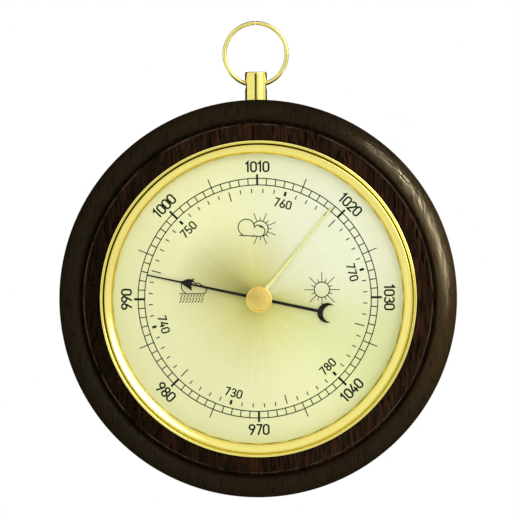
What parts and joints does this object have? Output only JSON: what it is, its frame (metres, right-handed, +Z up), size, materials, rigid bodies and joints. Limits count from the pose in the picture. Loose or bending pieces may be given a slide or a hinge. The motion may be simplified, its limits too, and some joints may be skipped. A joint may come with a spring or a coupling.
{
  "type": "aneroid wall barometer",
  "caption": "Round aneroid wall barometer: dark turned wood frame, brass bezel, brushed dial under glass, pressure hand, set hand with knob, and a wire hanging ring.",
  "frame": {"origin": "on the dial's axis, at the back plane of the case that lies against the wall", "axes": "+Z up, +X to the right as the dial is read, +Y from the dial back into the wall"},
  "size_m": [0.1318, 0.0346, 0.1583],
  "materials": {
    "dark_wood": "dark stained, satin varnish",
    "polished_brass": "polished and lacquered",
    "satin_brass": "satin",
    "movement_brass": "brushed",
    "steel": "bright",
    "spring_steel": "blued",
    "case_metal": "yellow passivated",
    "capsule_metal": "plated",
    "dial_plate": "sunray brushed, pale gold",
    "black_paint": "matt black",
    "clear_glass": "clear, flat"
  },
  "bodies": {
    "housing": {"wood_frame": "dark_wood", "hanger_stud": "polished_brass", "movement_case": "case_metal", "bezel": "polished_brass", "glass": "clear_glass", "glass_spacer_ring": "polished_brass", "dial": "dial_plate", "dial_seat_ring": "movement_brass", "case_clamp_1": "steel", "case_clamp_2": "steel", "case_clamp_3": "steel", "clamp_screw_1": "satin_brass", "clamp_screw_2": "satin_brass", "clamp_screw_3": "satin_brass", "base_plate": "movement_brass", "front_plate": "movement_brass", "pillar_1": "movement_brass", "pillar_2": "movement_brass", "pillar_3": "movement_brass", "pillar_nut_1": "steel", "pillar_nut_2": "steel", "pillar_nut_3": "steel", "spacer_1": "movement_brass", "spacer_2": "movement_brass", "spacer_3": "movement_brass", "case_screw_1": "steel", "case_screw_2": "steel", "case_screw_3": "steel", "adjust_leaf": "steel", "leaf_screw_1": "steel", "leaf_screw_2": "steel", "capsule_back": "capsule_metal", "capsule_front": "capsule_metal", "capsule_nut": "steel", "bearing_bracket_left": "movement_brass", "bearing_bracket_right": "movement_brass", "pivot_screw_left": "steel", "pivot_screw_right": "steel", "hairspring_stud": "movement_brass"},
    "hand_train": {"hand_arbor": "steel", "pinion": "movement_brass", "hairspring_collet": "movement_brass", "hairspring": "spring_steel", "pressure_hand": "black_paint"},
    "sector_train": {"sector": "movement_brass", "sector_arbor": "steel"},
    "rocking_shaft": {"rocker_shaft": "steel", "contact_arm": "movement_brass", "drive_arm": "movement_brass"},
    "capsule_face": {"capsule_post": "movement_brass"},
    "set_hand_train": {"set_knob": "satin_brass", "set_spindle": "satin_brass", "set_hand": "satin_brass", "friction_washer": "steel"},
    "ring": {"hanging_ring": "polished_brass"},
    "adjuster": {"adjust_screw": "satin_brass"}
  },
  "joints": [
    {"name": "hand_turn", "type": "hinge", "parent": "housing", "child": "hand_train", "pos_m": [0, -0.012, 0], "axis": [0, 1, 0], "range_deg": [-124.65, 235.35], "stiffness_Nm_per_rad": 0.0001, "deforming": ["hairspring"]},
    {"name": "sector_turn", "type": "hinge", "parent": "housing", "child": "sector_train", "pos_m": [0.01768, -0.0066, -0.01251], "axis": [0, 1, 0], "range_deg": [-19.62, 10.4]},
    {"name": "rocker_turn", "type": "hinge", "parent": "housing", "child": "rocking_shaft", "pos_m": [0, -0.013, -0.00951], "axis": [1, 0, 0], "range_deg": [-7.28, 13.74]},
    {"name": "capsule_travel", "type": "slide", "parent": "housing", "child": "capsule_face", "axis": [0, 1, 0], "range_m": [-0.0003182, 0.0005999], "deforming": ["capsule_front"]},
    {"name": "set_knob_turn", "type": "hinge", "parent": "housing", "child": "set_hand_train", "pos_m": [0, -0.03, 0], "axis": [0, 1, 0], "continuous": true},
    {"name": "ring_swing", "type": "hinge", "parent": "housing", "child": "ring", "pos_m": [0, -0.013, 0.07095], "axis": [1, 0, 0], "range_deg": [-105, 105]},
    {"name": "adjust_screw_turn", "type": "hinge", "parent": "housing", "child": "adjuster", "pos_m": [-0.0185, -0.002, -0.00352], "axis": [0, 1, 0], "range_deg": [-450, 450]}
  ],
  "couplings": [
    {"joint": "sector_turn", "follows": "hand_turn", "ratio": -0.083333},
    {"joint": "rocker_turn", "follows": "hand_turn", "ratio": 0.058323},
    {"joint": "capsule_travel", "follows": "hand_turn", "m_per_rad": 0.00014581}
  ]
}
